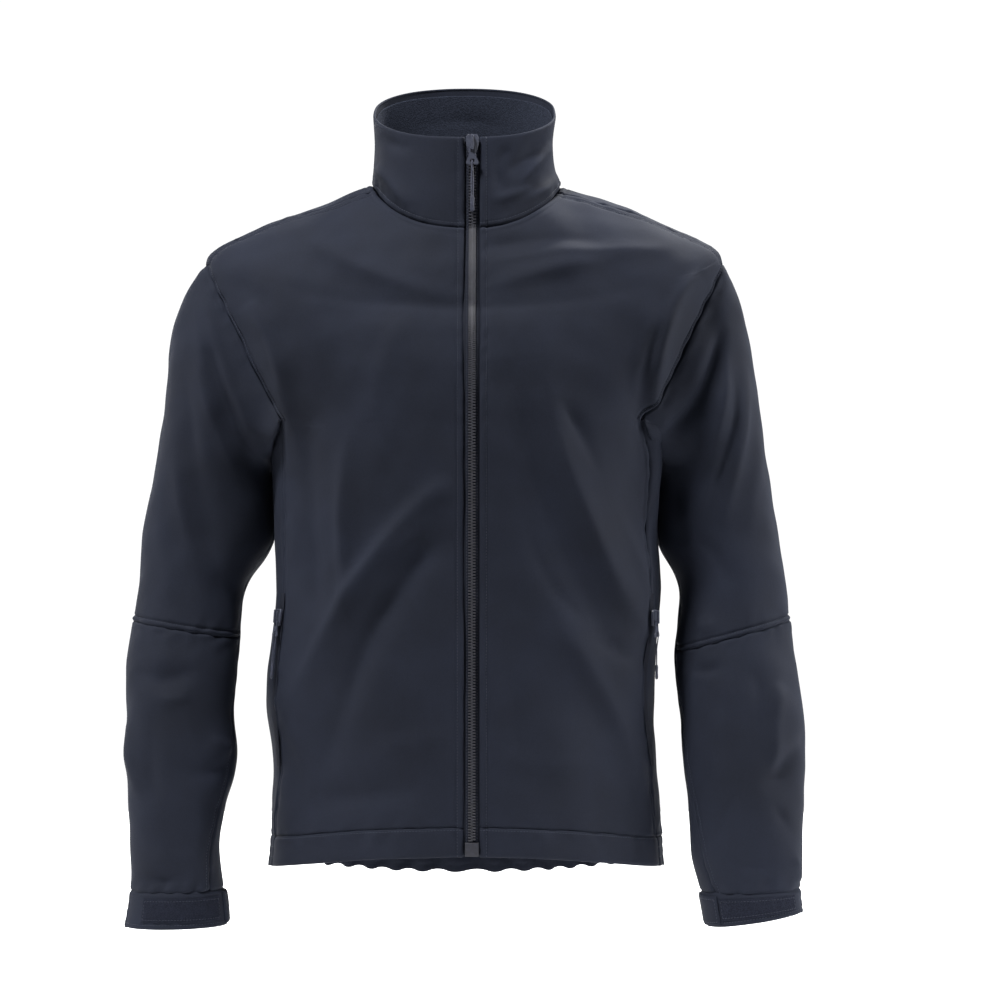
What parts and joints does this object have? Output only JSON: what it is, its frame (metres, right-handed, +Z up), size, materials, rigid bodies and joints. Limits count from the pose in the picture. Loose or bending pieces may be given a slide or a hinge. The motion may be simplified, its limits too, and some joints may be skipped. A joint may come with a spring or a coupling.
{
  "type": "softshell jacket",
  "caption": "Plain dark softshell jacket with a stand-up collar, a full-length front zip, side pockets and strapped cuffs, shaped as if worn.",
  "frame": {"origin": "the middle of the neck, level with the points where the shoulders meet the collar; the wearer's neck carries the jacket there", "axes": "+X to the wearer's left, -Y to the front, +Z up"},
  "size_m": [0.6731, 0.2722, 0.8393],
  "materials": {
    "softshell": "matte woven face, dark navy",
    "facing": "soft brushed fleece, dark navy",
    "loop_pile": "loop pile, dark navy",
    "zip_tape": "woven tape, dark navy",
    "zip_plastic": "satin moulded plastic, dark navy"
  },
  "bodies": {
    "jacket": {"front_left": "softshell", "front_right": "softshell", "back": "softshell", "hem_front_left": "softshell", "hem_front_right": "softshell", "hem_back": "softshell", "collar": "softshell", "collar_facing": "facing", "sleeve_left_upper": "softshell", "sleeve_left_lower": "softshell", "sleeve_left_under": "softshell", "cuff_left": "softshell", "loop_patch_left": "loop_pile", "cuff_tab_left": "softshell", "sleeve_right_upper": "softshell", "sleeve_right_lower": "softshell", "sleeve_right_under": "softshell", "cuff_right": "softshell", "loop_patch_right": "loop_pile", "cuff_tab_right": "softshell", "zip_chain": "zip_plastic", "zip_tape_left": "zip_tape", "zip_tape_right": "zip_tape", "zip_box": "zip_plastic", "zip_slider": "zip_plastic", "pocket_left_zip": "zip_plastic", "pocket_left_slider": "zip_plastic", "pocket_right_zip": "zip_plastic", "pocket_right_slider": "zip_plastic"},
    "zip_pull": {"zip_pull_tab": "zip_plastic", "zip_puller": "zip_plastic"},
    "pocket_left_pull": {"pocket_left_pull_tab": "zip_plastic", "pocket_left_puller": "zip_plastic"},
    "pocket_right_pull": {"pocket_right_pull_tab": "zip_plastic", "pocket_right_puller": "zip_plastic"}
  },
  "joints": [
    {"name": "zip_pull_hinge", "type": "hinge", "parent": "jacket", "child": "zip_pull", "pos_m": [0.008, -0.08502, 0.02891], "axis": [-1, 0, 0], "range_deg": [0, 110]},
    {"name": "pocket_left_pull_hinge", "type": "hinge", "parent": "jacket", "child": "pocket_left_pull", "pos_m": [0.18855, -0.064, -0.43379], "axis": [-0.4366, -0.8997, 0], "range_deg": [0, 110]},
    {"name": "pocket_right_pull_hinge", "type": "hinge", "parent": "jacket", "child": "pocket_right_pull", "pos_m": [-0.18456, -0.06257, -0.43303], "axis": [-0.4734, 0.8809, 0], "range_deg": [0, 110]}
  ]
}
